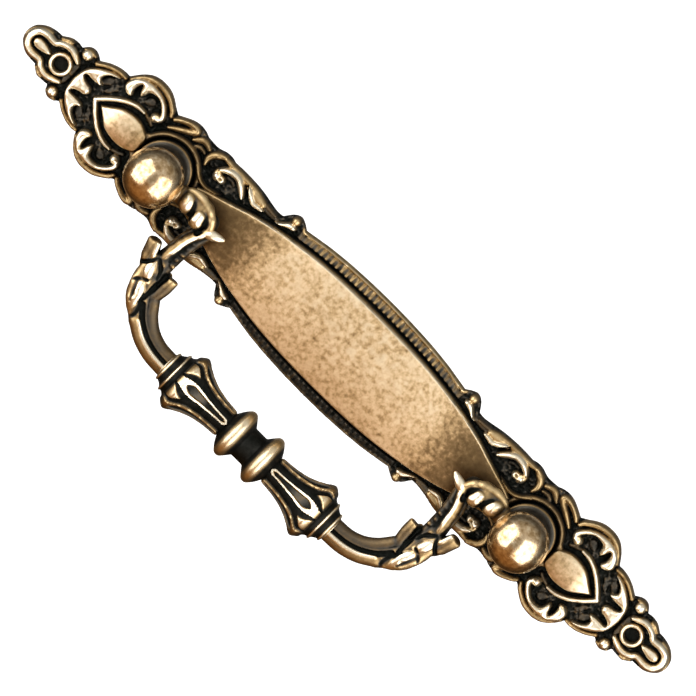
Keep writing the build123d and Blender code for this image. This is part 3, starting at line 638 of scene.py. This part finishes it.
def shape_arm():
    # core, then the two rolls of the lower tube with the furrow between them
    strand(along(0, 8, [0.1, 0.2], [-0.15, -0.15], [2.0, 2.0, 1.9]), tone=0.45)
    strand(along(0, 6, [-1.15, -1.15, -1.15, -1.3, -1.6, -1.85, -1.85], [0.05, 0.05], [1.44, 1.44, 1.44, 1.44, 1.42, 1.36, 1.15]), 0.1, tone=0.36)
    strand(along(0, 4, [0.8, 0.85], [0.05, 0.15], [1.82, 1.82, 1.75]), 0.1, tone=0.54)
    strand(along(0, 5, [-0.22, -0.32], [1.72, 1.85], [0.52, 0.56, 0.6]), 0.12, True, tone=0.0)
    # painted highlight: a white line along the top of the outer roll
    strand(along(0, 4, [0.52, 0.52], [1.52, 1.6], [0.5, 0.5, 0.34]), 0.2, tone=1.0)
    # leaf that sheathes the bend: outer band, broad middle band creased across, a sunk line at its foot
    strand(along(4, 8, [1.0, 1.2, 1.2], [-0.2, -0.1], [1.75, 2.0, 1.8]), 0.1, tone=0.45)
    strand([(33.4, -22.6, 0.55, 0.9), (35.2, -20.6, 0.7, 1.25), (36.5, -18.0, 0.75, 1.35), (37.2, -15.6, 0.7, 1.35), (37.6, -13.4, 0.6, 1.2), (37.7, -12.0, 0.4, 0.8)], 0.12, tone=0.62)
    strand([(36.3, -16.5, 1.3, 0.75), (35.5, -17.8, 1.45, 1.1), (34.85, -19.2, 1.45, 1.1), (34.45, -20.7, 1.3, 0.85), (34.2, -22.1, 1.0, 0.5)], 0.1, tone=0.92)
    strand([(37.0, -12.3, 1.0, 0.75), (36.75, -13.6, 1.4, 1.12), (36.2, -14.9, 1.5, 1.2), (35.7, -16.0, 1.3, 1.0)], 0.08, tone=0.92)
    strand([(37.9, -17.9, 1.75, 0.26), (37.0, -16.9, 2.25, 0.36), (36.1, -16.2, 2.5, 0.40), (35.0, -15.8, 2.35, 0.34)], 0.18, True, tone=0.16)
    strand([(36.9, -17.0, 2.15, 0.22), (36.45, -18.2, 2.3, 0.30), (35.9, -19.5, 2.25, 0.30), (35.2, -21.0, 2.0, 0.2)], 0.2, True, tone=0.3)
    strand([(34.0, -18.6, 1.9, 0.40), (33.0, -20.9, 2.0, 0.46), (32.9, -22.8, 1.8, 0.42), (33.8, -24.2, 1.2, 0.3)], 0.12, True, tone=0.0)
    # inner stub beside the arm with a dark cleft between, and the blunt outer tip
    strand([(33.3, -18.2, -0.7, 1.3), (33.2, -15.6, -0.8, 1.25), (33.3, -13.4, -0.9, 1.05)], 0.1, tone=0.05)
    strand([(32.7, -18.6, 0.0, 1.3), (32.2, -16.6, 0.25, 1.25), (31.95, -14.9, 0.3, 1.22), (31.95, -13.0, 0.3, 1.2)], 0.1, tone=0.36)
    chop((31.9, -12.65, 0.3), (0.1, 1, 0), 1.6, 0.4, 0.25)
    strand([(33.55, -18.8, 1.7, 0.4), (33.5, -16.8, 1.5, 0.56), (33.45, -14.6, 1.2, 0.6), (33.4, -12.6, 0.8, 0.65)], 0.08, True, tone=0.0)
    strand([(37.5, -14.8, 0.0, 1.25), (38.5, -12.9, 0.2, 1.42), (39.2, -10.9, 0.4, 1.48), (39.6, -9.8, 0.4, 1.46)], 0.1, tone=0.42)
    # painted highlight: a bright stripe along the outer tip's inner side
    strand([(37.7, -12.6, 1.15, 0.38), (38.2, -10.9, 1.4, 0.5), (38.65, -9.5, 1.35, 0.46)], 0.12, tone=0.95)
    chop((39.8, -9.2, 0.4), (0.3, 0.92, 0.1), 2.0, 0.7, 0.3)
    strand([(39.2, -14.6, 0.9, 0.30), (38.2, -13.6, 1.65, 0.40), (37.4, -12.4, 1.95, 0.40), (36.9, -11.2, 1.8, 0.36), (36.9, -10.0, 1.5, 0.3)], 0.12, True, tone=0.05)
    # upper strap: broad body, rounded ridge up its outer side, furrow and small scallops inside
    strand(along(7, 12, [0.0, -0.3, -0.2], [-0.25, -0.1], [1.85, 1.6, 1.55]), tone=0.3)
    strand(along(8, 12, [0.75, 0.65], [-0.1, 0.0], [1.25, 1.15]), 0.1, tone=0.46)
    strand(along(8, 12, [-1.05, -1.0], [-0.1, 0.0], [1.25, 1.15]), 0.1, tone=0.32)
    strand([(36.3, -11.6, 0.6, 0.7), (36.05, -9.0, 1.0, 0.95), (35.75, -6.6, 1.15, 0.98), (35.2, -4.4, 1.15, 0.98), (34.3, -2.6, 1.15, 0.92), (33.8, -1.6, 1.1, 0.85)], 0.1, tone=0.46)
    # painted highlight: a bright line along the ridge's crest
    strand([(36.3, -11.4, 0.95, 0.26), (35.75, -9.0, 1.72, 0.36), (35.4, -6.6, 1.88, 0.4), (34.9, -4.4, 1.88, 0.38), (34.05, -2.6, 1.82, 0.36), (33.65, -1.7, 1.7, 0.3)], 0.16, tone=1.0)
    strand([(34.85, -10.4, 1.5, 0.24), (34.55, -7.2, 1.6, 0.26), (34.0, -4.4, 1.6, 0.24)], 0.1, True, tone=0.0)
    for i, (y, rx, ry, tone) in enumerate([(-10.7, 0.85, 0.5, 0.2), (-9.3, 0.7, 0.62, 0.16), (-7.9, 0.95, 0.55, 0.22), (-6.3, 0.75, 0.66, 0.17), (-4.8, 0.9, 0.55, 0.22), (-3.4, 0.7, 0.6, 0.17)]):
        lump((34.05 + 0.12 * (i % 2) + 0.25 * math.sin(0.45 * i), y, 0.8), (0.8 * rx, ry, 0.68), 24 - 9 * (i % 3), 0.25, tone=tone)
    strand([(36.5, -11.3, 1.75, 0.34), (35.6, -12.1, 1.75, 0.42), (34.6, -13.2, 1.6, 0.46), (34.0, -14.6, 1.5, 0.4)], 0.15, True, tone=0.0)
    # knuckle: barrel on the pivot, shell-shaped cap whose two fingers bulge below its rim, leaf curl, pin
    strand([(34.8, 0, 0, 1.9), (38.0, 0, 0, 2.1), (41.6, 0, 0, 1.9)], tone=0.1)
    lump((38.2, 0.6, 0.2), (3.5, 2.3, 2.1), -6, 0.1, tone=0.62)
    # painted highlight: the two fingers are painted white at their fronts, with painted shade round them
    lump((40.3, 0.1, 0.9), (1.72, 2.25, 2.2), -20, 0.1, tone=1.0, fade=0.42)
    lump((36.8, -0.75, 0.9), (1.8, 2.2, 2.2), -18, 0.1, tone=1.0, fade=0.42)
    strand([(41.75, 0.1, 0.3, 0.7), (41.3, 1.6, 0.65, 0.95), (39.9, 2.3, 0.8, 0.98), (38.2, 2.25, 0.95, 0.98), (36.4, 1.75, 1.05, 0.95), (34.9, 0.8, 1.1, 0.9), (33.95, -0.5, 1.1, 0.85), (33.75, -1.8, 1.1, 0.8)], 0.08, tone=0.6)
    strand([(39.3, 1.55, 2.35, 0.30), (38.75, 0.5, 2.6, 0.46), (38.35, -0.8, 2.5, 0.56), (38.3, -2.4, 2.0, 0.6)], 0.1, True, tone=0.0)
    strand([(35.9, 1.1, 2.45, 0.30), (35.2, 0.0, 2.4, 0.46), (34.85, -1.2, 2.2, 0.52), (35.1, -2.8, 1.8, 0.5)], 0.1, True, tone=0.0)
    strand([(34.7, -3.2, -0.6, 1.1), (34.5, -1.2, -0.7, 1.0), (35.2, 0.6, -0.6, 1.0), (36.6, 1.4, -0.4, 1.0)], 0.1, tone=0.3)
    strand([(33.9, -1.7, 1.0, 0.95), (32.9, -1.25, 1.15, 1.0), (31.7, -0.8, 1.05, 0.85), (30.7, -0.4, 0.85, 0.42)], 0.08, tone=1.0)
    strand([(41.2, 0, 0, 2.05), (42.0, 0, 0, 2.0)], 0.1, tone=0.5)
    strand([(41.0, 0, 0, 1.48), (44.9, 0, 0, 1.48)], 0.02, tone=0.3)


def surface_nets(d, origin, step):
    """Closed quad mesh of the field's zero level."""
    neg = d < 0
    n = np.array(d.shape)
    total = np.zeros(n - 1, np.int8)
    for c in np.ndindex(2, 2, 2):
        total += neg[c[0]:n[0] - 1 + c[0], c[1]:n[1] - 1 + c[1], c[2]:n[2] - 1 + c[2]]
    active = (total > 0) & (total < 8)
    ci = np.argwhere(active)
    index = np.full(active.shape, -1)
    index[active] = np.arange(len(ci))
    corner = {c: d[ci[:, 0] + c[0], ci[:, 1] + c[1], ci[:, 2] + c[2]] for c in np.ndindex(2, 2, 2)}
    acc = np.zeros((len(ci), 3))
    count = np.zeros(len(ci))
    for axis in range(3):
        for c in np.ndindex(2, 2, 2):
            if c[axis]:
                continue
            e = list(c)
            e[axis] = 1
            va, vb = corner[c], corner[tuple(e)]
            m = (va < 0) != (vb < 0)
            p = np.repeat(np.array(c, float)[None], m.sum(), 0)
            p[:, axis] = va[m] / (va[m] - vb[m])
            acc[m] += p
            count[m] += 1
    verts = (ci + acc / count[:, None]) * step + origin
    quads = []
    for a in range(3):
        b, c = (a + 1) % 3, (a + 2) % 3
        lo, hi = [slice(None)] * 3, [slice(None)] * 3
        lo[a], hi[a] = slice(0, -1), slice(1, None)
        for ax in (b, c):
            lo[ax] = hi[ax] = slice(1, -1)
        first, second = neg[tuple(lo)], neg[tuple(hi)]
        p = np.argwhere(first != second)
        p[:, b] += 1
        p[:, c] += 1
        eb, ec = np.zeros(3, int), np.zeros(3, int)
        eb[b], ec[c] = 1, 1
        q = np.stack([index[tuple((p - o).T)] for o in (0 * eb, eb, eb + ec, ec)], 1)
        out = neg[tuple(p.T)]
        quads.append(np.where(out[:, None], q, q[:, ::-1]))
    return verts, np.concatenate(quads)


def blur3(a, sigma):
    r = int(math.ceil(2.5 * sigma))
    k = np.exp(-0.5 * (np.arange(-r, r + 1) / sigma) ** 2)
    k /= k.sum()
    for axis in range(3):
        pad = [(0, 0)] * 3
        pad[axis] = (r, r)
        b = np.pad(a, pad, mode="edge")
        s = np.zeros_like(a)
        for i, w in enumerate(k):
            sl = [slice(None)] * 3
            sl[axis] = slice(i, i + a.shape[axis])
            s += np.float32(w) * b[tuple(sl)]
        a = s
    return a


def sample3(field, p):
    f = (p - [AX[0], AY[0], AZ[0]]) / ARM_STEP
    f = np.clip(f, 0, np.array(field.shape) - 1.001)
    i = f.astype(int)
    t = f - i
    out = 0
    for c in np.ndindex(2, 2, 2):
        w = np.prod([t[:, k] if c[k] else 1 - t[:, k] for k in range(3)], axis=0)
        out = out + w * field[i[:, 0] + c[0], i[:, 1] + c[1], i[:, 2] + c[2]]
    return out


# ------------------------------------------------------------------ bail: grip
GRIP = [(0.0, 3.4), (1.2, 3.4), (1.45, 3.5), (1.7, 3.85), (2.1, 4.35), (2.6, 4.95), (2.9, 5.25), (3.2, 5.4), (3.55, 5.45), (3.9, 5.4), (4.2, 5.25), (4.5, 4.95), (5.0, 4.35),
        (5.35, 3.85), (5.6, 3.4), (5.8, 3.05), (6.4, 3.05), (9.0, 3.25), (11.0, 3.6), (12.5, 4.05), (13.8, 4.6), (15.0, 5.3), (16.0, 5.98), (16.6, 6.28), (16.95, 6.3), (17.35, 6.1), (18.0, 5.6), (18.35, 5.25),
        (18.5, 4.75), (18.9, 4.4), (19.35, 4.2), (19.5, 4.4), (19.68, 4.45), (19.85, 4.3), (20.0, 3.85), (20.5, 3.45), (21.05, 3.15), (21.2, 3.3), (21.38, 3.32), (21.55, 3.15), (21.65, 2.7), (21.9, 2.5)]


def grip_radius(x, a, bright=False):
    """Radius of the grip's surface at x along it and angle a (degrees) round it."""
    x = np.abs(x)
    p = np.array(GRIP)
    r = np.interp(x, p[:, 0], p[:, 1])
    off = (a - 14.0 + 30.0) % 60.0 - 30.0
    s = np.radians(np.abs(off)) * r
    edge = np.radians(30.0) * r
    half = np.interp(x, [6.0, 8.0, 9.5, 12.4, 14.4, 15.4, 16.4, 17.4, 18.3], [0.72, 0.75, 0.84, 1.14, 1.44, 1.48, 1.32, 1.02, 0.82])
    on = step01(5.8, 6.0, x) * (1 - step01(18.15, 18.4, x))
    # a raised panel, round at its narrow end, with a sunk tongue in it
    outer = half * np.sqrt(np.clip(1 - ((6.75 - x) / 0.8) ** 2, 0, 1) * (x < 6.75) + (x >= 6.75))
    body = step01(-0.06, 0.10, outer - s) * (x > 5.95)
    begin = np.sqrt(np.clip(1 - ((7.3 - x) / 0.8) ** 2, 0, 1) * (x < 7.3) + (x >= 7.3))
    end = np.clip((16.3 - x) / 1.4, 0, 1) ** 0.5
    inner = (half - np.interp(x, [6.0, 10.0, 15.0], [0.36, 0.37, 0.50])) * begin * end
    sunk = step01(-0.02, 0.20, inner - s) * (x > 6.5) * (x < 16.3)
    # three-sided facets between the panels at the crown
    side = edge - s
    facet_half = np.clip((x - 15.2) / 3.0, 0, 1) * (edge - half - 0.42)
    facet = step01(-0.10, 0.14, facet_half - side) * step01(15.2, 15.6, x)
    valley = (1 - body) * (1 - facet)
    dr = 0.22 * body * (1 - sunk) - 0.30 * sunk - 0.42 * valley + 0.05 * facet
    if bright:
        # what is bright: panel rims and ends, facets, ring bands and collar lines, rubbed; a painted highlight on the
        # sunk tongues' floor, and painted shade on the grip's flanks
        # painted highlight: a soft glow on the sunk tongues' floor about their widest part
        floor = 0.26 * np.exp(-((x - 13.2) / 2.0) ** 2)
        panel = np.clip(0.06 + 0.94 * body * (1 - sunk) + floor * sunk + 0.78 * facet, 0, 1)
        panel = panel * (1 - 0.7 * step01(17.7, 18.3, x))
        # painted shade: panels and ring bands darken towards the grip's flanks, staying bright where they face the
        # front
        facing = step01(0.1, 0.8, np.cos(np.radians(a - 14.0)) ** 2)
        panel = panel * (0.42 + 0.58 * facing)
        w = np.where((x > 5.9) & (x < 18.35), panel, 0.08)
        w = np.maximum(w, (0.56 + 0.26 * facing) * step01(1.9, 2.6, x) * (1 - step01(4.4, 5.1, x)))
        w = np.maximum(w, 1.0 * np.exp(-((x - 19.68) / 0.27) ** 2))
        return np.maximum(w, 1.0 * np.exp(-((x - 21.36) / 0.23) ** 2))
    return r + on * dr


def make_grip():
    half = np.concatenate([np.arange(0.0, 1.2, 0.4), np.arange(1.2, 6.0, 0.13), np.arange(6.0, 15.0, 0.2), np.arange(15.0, 21.9, 0.115), [21.9]])
    xs = np.concatenate([-half[:0:-1], half])
    n = 248
    an = np.arange(n) * 360.0 / n
    gx, ga = np.meshgrid(xs, an, indexing="ij")
    r = grip_radius(gx, ga)
    y = GRIP_Y + r * np.sin(np.radians(ga))
    z = PIVOT_Z + r * np.cos(np.radians(ga))
    verts = np.stack([gx, y, z], 2).reshape(-1, 3)
    k = len(xs)
    i, j = np.meshgrid(np.arange(k - 1), np.arange(n), indexing="ij")
    a0, b0 = (i * n + j).ravel(), (i * n + (j + 1) % n).ravel()
    faces = np.stack([a0, a0 + n, b0 + n, b0], 1).tolist()
    faces.append(tuple(range(n)))
    faces.append(tuple((k - 1) * n + q for q in range(n - 1, -1, -1)))
    return new_mesh("bail_cast", verts, faces)


def make_bail():
    shape_arm()
    wavy = blur3(np.random.default_rng(11).normal(size=ARM.shape).astype(np.float32), 2.6)
    free = (step01(30.0, 34.0, AX) * (1 - step01(39.8, 41.2, AX))).astype(np.float32)
    ARM[:] += np.float32(0.045) * wavy / wavy.std() * free[:, None, None]
    back = (1 - step01(-1.0, -0.2, AZ)).astype(np.float32)[None, None, :]
    ARM_TONE[:] += (np.maximum(ARM_TONE, np.float32(0.5)) - ARM_TONE) * back
    np.maximum(ARM, (AX - 46.38).astype(np.float32)[:, None, None], out=ARM)
    np.maximum(ARM, (20.3 - AX).astype(np.float32)[:, None, None], out=ARM)
    verts, quads = surface_nets(ARM, np.array([AX[0], AY[0], AZ[0]]), ARM_STEP)
    solid = np.clip(0.5 - ARM / (2 * ARM_STEP), 0, 1).astype(np.float32)
    close = blur3(solid, 0.42 / ARM_STEP)
    wide = blur3(solid, 1.0 / ARM_STEP)
    lifted = verts + [0, 0, PIVOT_Z]
    arms = []
    for s in (1, -1):
        o = new_mesh("arm", lifted * [s, 1, 1], (quads if s > 0 else quads[:, ::-1]).tolist())
        d = o.modifiers.new("thin", "DECIMATE")
        d.ratio = 0.56
        apply_modifiers(o)
        arms.append(o)
    o = make_grip()
    d = o.modifiers.new("thin", "DECIMATE")
    d.ratio = 0.62
    apply_modifiers(o)
    for t in arms:
        b = o.modifiers.new("join", "BOOLEAN")
        b.operation = "UNION"
        b.object = t
        b.solver = "MANIFOLD"
    apply_modifiers(o)
    for t in arms:
        bpy.data.objects.remove(t)
    v = lying(o)
    p = np.stack([np.abs(v[:, 0]), v[:, 1], v[:, 2] - PIVOT_Z], 1)
    # rubbed brighter on the arm's convex parts; darker where its own solid crowds round, as patina in the hollows and
    # as painted shade
    arm_wear = np.clip(sample3(ARM_TONE, p) - 1.5 * (sample3(close, p) - 0.44) - 0.6 * (sample3(wide, p) - 0.40), 0, 1)
    arm_wear = np.where(p[:, 0] > 42.6, 0.35, arm_wear)
    ang = np.degrees(np.arctan2(v[:, 1] - GRIP_Y, v[:, 2] - PIVOT_Z))
    t = step01(21.3, 21.9, p[:, 0])
    paint(o, wear=grip_radius(v[:, 0], ang, True) * (1 - t) + arm_wear * t, satin=np.zeros(len(v)))
    smooth(o, 50)
    return o


# ------------------------------------------------------------------ finishes
def node(nt, kind, x, y, **inputs):
    n = nt.nodes.new(kind)
    n.location = (x, y)
    for k, v in inputs.items():
        n.inputs[k.replace("_", " ")].default_value = v
    return n


def math_node(nt, op, x, y, a, b, clamp=False):
    n = nt.nodes.new("ShaderNodeMath")
    n.operation = op
    n.use_clamp = clamp
    n.location = (x, y)
    for sock, v in zip(n.inputs, (a, b)):
        if isinstance(v, (int, float)):
            sock.default_value = v
        else:
            nt.links.new(v, sock)
    return n.outputs[0]


def ramp(nt, x, y, fac, stops):
    n = nt.nodes.new("ShaderNodeValToRGB")
    n.location = (x, y)
    e = n.color_ramp.elements
    while len(e) < len(stops):
        e.new(0.5)
    for el, (p, c) in zip(e, stops):
        el.position = p
        el.color = (c[0], c[1], c[2], 1) if len(c) == 3 else c
    nt.links.new(fac, n.inputs[0])
    return n.outputs[0]


def mix_colour(nt, x, y, fac, a, b):
    n = nt.nodes.new("ShaderNodeMix")
    n.data_type = "RGBA"
    n.location = (x, y)
    nt.links.new(fac, n.inputs[0])
    nt.links.new(a, n.inputs[6])
    nt.links.new(b, n.inputs[7])
    return n.outputs[2]


def mix_value(nt, x, y, fac, a, b):
    n = nt.nodes.new("ShaderNodeMix")
    n.data_type = "FLOAT"
    n.location = (x, y)
    nt.links.new(fac, n.inputs[0])
    nt.links.new(a, n.inputs[2])
    nt.links.new(b, n.inputs[3])
    return n.outputs[0]


def antique_brass(name, face_stops, face_rough, bump):
    mat = bpy.data.materials.new(name)
    mat.use_nodes = True
    nt = mat.node_tree
    nt.nodes.clear()
    out = node(nt, "ShaderNodeOutputMaterial", 1400, 0)
    bsdf = node(nt, "ShaderNodeBsdfPrincipled", 1100, 0)
    nt.links.new(bsdf.outputs[0], out.inputs[0])
    tc = node(nt, "ShaderNodeTexCoord", -1300, 0)
    wear = node(nt, "ShaderNodeAttribute", -900, 300)
    wear.attribute_name = "wear"
    satin = node(nt, "ShaderNodeAttribute", -900, 500)
    satin.attribute_name = "satin"

    def noise(scale, detail, rough, y):
        n = node(nt, "ShaderNodeTexNoise", -1000, y, Scale=scale, Detail=detail, Roughness=rough)
        nt.links.new(tc.outputs["Object"], n.inputs["Vector"])
        return n.outputs["Fac"]

    mottle = noise(620.0, 5.0, 0.62, -100)
    speck = noise(1150.0, 2.0, 0.5, -850)
    cloud = noise(150.0, 3.0, 0.5, -350)
    grain = noise(2600.0, 3.0, 0.6, -600)

    # rubbed brass over a dark patina, broken up a little; the wear attribute also carries painted shade and painted
    # highlights
    n1 = math_node(nt, "MULTIPLY_ADD", -700, 0, mottle, 0.30)
    nt.nodes[-1].inputs[2].default_value = -0.15
    n2 = math_node(nt, "MULTIPLY_ADD", -700, -200, cloud, 0.20)
    nt.nodes[-1].inputs[2].default_value = -0.10
    w = math_node(nt, "ADD", -500, 200, wear.outputs["Fac"], n1)
    w = math_node(nt, "ADD", -350, 200, w, n2, True)
    colour = ramp(nt, -150, 250, w, [
        (0.0, (0.006, 0.007, 0.006)), (0.12, (0.018, 0.018, 0.016)), (0.24, (0.066, 0.059, 0.048)), (0.38, (0.12, 0.084, 0.046)),
        (0.52, (0.30, 0.204, 0.094)), (0.72, (0.62, 0.465, 0.25)), (0.95, (0.89, 0.80, 0.625))])
    rough = ramp(nt, -150, -50, w, [(0.0, (0.6,) * 3), (0.35, (0.5,) * 3), (0.6, (0.41,) * 3), (1.0, (0.35,) * 3)])
    # the broad smooth faces: satin, speckled
    s0 = math_node(nt, "MULTIPLY_ADD", -650, -500, speck, 0.8)
    nt.nodes[-1].inputs[2].default_value = -0.95
    s1 = math_node(nt, "MULTIPLY_ADD", -500, -500, mottle, 0.8)
    nt.links.new(s0, nt.nodes[-1].inputs[2])
    s2 = math_node(nt, "MULTIPLY_ADD", -350, -500, cloud, 0.3)
    nt.links.new(s1, nt.nodes[-1].inputs[2])
    much = math_node(nt, "MULTIPLY_ADD", -650, -700, wear.outputs["Fac"], 0.55)
    nt.nodes[-1].inputs[2].default_value = 0.32
    even = math_node(nt, "MULTIPLY_ADD", -500, -700, wear.outputs["Fac"], 0.8)
    nt.nodes[-1].inputs[2].default_value = -0.116
    s3 = math_node(nt, "MULTIPLY_ADD", -250, -500, s2, much)
    nt.links.new(even, nt.nodes[-1].inputs[2])
    face = ramp(nt, -150, -550, s3, face_stops)
    f_rough = ramp(nt, -150, -800, mottle, face_rough)

    colour = mix_colour(nt, 250, 250, satin.outputs["Fac"], colour, face)
    rough = mix_value(nt, 250, 0, satin.outputs["Fac"], rough, f_rough)
    nt.links.new(colour, bsdf.inputs["Base Color"])
    nt.links.new(rough, bsdf.inputs["Roughness"])
    bsdf.inputs["Metallic"].default_value = 1.0

    b1 = node(nt, "ShaderNodeBump", 700, -400, Strength=bump, Distance=0.00012)
    nt.links.new(speck, b1.inputs["Height"])
    b2 = node(nt, "ShaderNodeBump", 850, -400, Strength=0.15, Distance=0.00004)
    nt.links.new(grain, b2.inputs["Height"])
    nt.links.new(b1.outputs[0], b2.inputs["Normal"])
    nt.links.new(b2.outputs[0], bsdf.inputs["Normal"])
    return mat


SATIN_STOPS = [(0.0, (0.085, 0.052, 0.023)), (0.2, (0.135, 0.085, 0.038)), (0.328, (0.24, 0.152, 0.071)), (0.472, (0.50, 0.34, 0.173)), (0.6, (0.72, 0.53, 0.316)), (0.776, (0.86, 0.688, 0.46))]
plate_brass = antique_brass("antique_brass_plate", SATIN_STOPS, [(0.3, (0.46,) * 3), (0.7, (0.36,) * 3)], 0.16)
bail_brass = antique_brass("antique_brass_bail", SATIN_STOPS, [(0.3, (0.46,) * 3), (0.7, (0.36,) * 3)], 0.2)
POLISHED_STOPS = [(0.2, (0.16, 0.10, 0.045)), (0.456, (0.38, 0.25, 0.12)), (0.6, (0.60, 0.44, 0.26)), (0.8, (0.82, 0.67, 0.46))]
post_brass = antique_brass("antique_brass_post", POLISHED_STOPS, [(0.3, (0.26,) * 3), (0.7, (0.16,) * 3)], 0.2)


def place(o, mat, body, node_name):
    o.data.materials.clear()
    o.data.materials.append(mat)
    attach(o, body)
    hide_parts(node_name)


place(make_plate(), plate_brass, "base", "backplate")
place(make_post("left_post_turned", -1), post_brass, "base", "left_post")
place(make_post("right_post_turned", 1), post_brass, "base", "right_post")
place(make_bail(), bail_brass, "bail", "bail")

# ------------------------------------------------------------------ studio
floor_mesh = bpy.data.meshes.new("studio_floor")
floor_mesh.from_pydata([(-8, -8, -0.16), (8, -8, -0.16), (8, 8, -0.16), (-8, 8, -0.16)], [], [(0, 1, 2, 3)])
floor = bpy.data.objects.new("studio_floor", floor_mesh)
bpy.context.scene.collection.objects.link(floor)
fm = bpy.data.materials.new("pale_floor")
fm.use_nodes = True
fb = fm.node_tree.nodes["Principled BSDF"]
fb.inputs["Base Color"].default_value = (0.9, 0.9, 0.9, 1)
fb.inputs["Roughness"].default_value = 0.9
fb.inputs["Emission Color"].default_value = (1, 1, 1, 1)
fb.inputs["Emission Strength"].default_value = 0.9
floor_mesh.materials.append(fm)
floor.visible_glossy = False

# dim room in front of the object, brighter behind it
world = bpy.data.worlds.new("studio")
bpy.context.scene.world = world
world.use_nodes = True
wt = world.node_tree
bg = wt.nodes["Background"]
bg.inputs["Strength"].default_value = 1.0
wc = node(wt, "ShaderNodeTexCoord", -900, 0)
ws = node(wt, "ShaderNodeSeparateXYZ", -700, 0)
wt.links.new(wc.outputs["Generated"], ws.inputs[0])
wf = math_node(wt, "MULTIPLY_ADD", -500, 0, ws.outputs["Y"], 0.5)
wt.nodes[-1].inputs[2].default_value = 0.5
wg = math_node(wt, "MULTIPLY_ADD", -500, -200, ws.outputs["Z"], 0.5)
wt.nodes[-1].inputs[2].default_value = 0.5
depth_tint = ramp(wt, -300, 0, wf, [(0.0, (0.46, 0.44, 0.41)), (0.3, (0.34, 0.325, 0.30)), (0.5, (0.28, 0.27, 0.25)), (0.62, (0.14, 0.135, 0.126)), (0.75, (0.06, 0.058, 0.054)), (0.87, (0.06, 0.058, 0.054)), (0.94, (0.30, 0.29, 0.27)), (1.0, (0.46, 0.445, 0.42))])
height_tint = ramp(wt, -300, -300, wg, [(0.0, (1.25, 0.62, 0.22)), (0.28, (1.12, 0.72, 0.38)), (0.45, (1.0, 0.97, 0.93)), (0.7, (1.1, 1.1, 1.1)), (0.9, (1.9, 1.9, 1.9)), (1.0, (2.1, 2.1, 2.1))])
wm = wt.nodes.new("ShaderNodeMix")
wm.data_type = "RGBA"
wm.blend_type = "MULTIPLY"
wm.inputs[0].default_value = 1.0
wt.links.new(depth_tint, wm.inputs[6])
wt.links.new(height_tint, wm.inputs[7])
wt.links.new(wm.outputs[2], bg.inputs["Color"])

TILT = math.radians(14.0)
FRAME_MM = 130.2
forward = Vector((0, math.cos(TILT), -math.sin(TILT)))
right0 = Vector((1, 0, 0))
up0 = Vector((0, math.sin(TILT), math.cos(TILT)))


def softbox(name, across, above, distance, width, height, power):
    """A soft light, placed by its angle from the camera's line along the plate and above it."""
    d = (-forward) * math.cos(math.radians(across)) * math.cos(math.radians(above)) + right0 * math.sin(math.radians(across)) * math.cos(math.radians(above)) + up0 * math.sin(math.radians(above))
    light = bpy.data.lights.new(name, "AREA")
    light.shape = "RECTANGLE"
    light.size, light.size_y = width, height
    light.energy = power
    o = bpy.data.objects.new(name, light)
    o.location = d * distance
    o.rotation_euler = (-d).to_track_quat("-Z", "Y").to_euler()
    bpy.context.scene.collection.objects.link(o)
    return o


softbox("soft_left", -50, -8, 0.75, 0.9, 1.25, 11.0)
softbox("soft_right", 50, -8, 0.75, 0.9, 1.25, 11.0)

cam_data = bpy.data.cameras.new("camera")
cam_data.sensor_width = 36.0
DISTANCE = 2.5
cam_data.lens = 36.0 * DISTANCE / (FRAME_MM * 0.001)
cam_data.clip_start = 0.01
cam_data.clip_end = 50.0
cam = bpy.data.objects.new("camera", cam_data)
r = (right0 + up0).normalized()
u = (up0 - right0).normalized()
m = Matrix((r, u, -forward)).transposed().to_4x4()
m.translation = -forward * DISTANCE
cam.matrix_world = m
bpy.context.scene.collection.objects.link(cam)
bpy.context.scene.camera = cam
bpy.context.scene.view_settings.view_transform = "Standard"
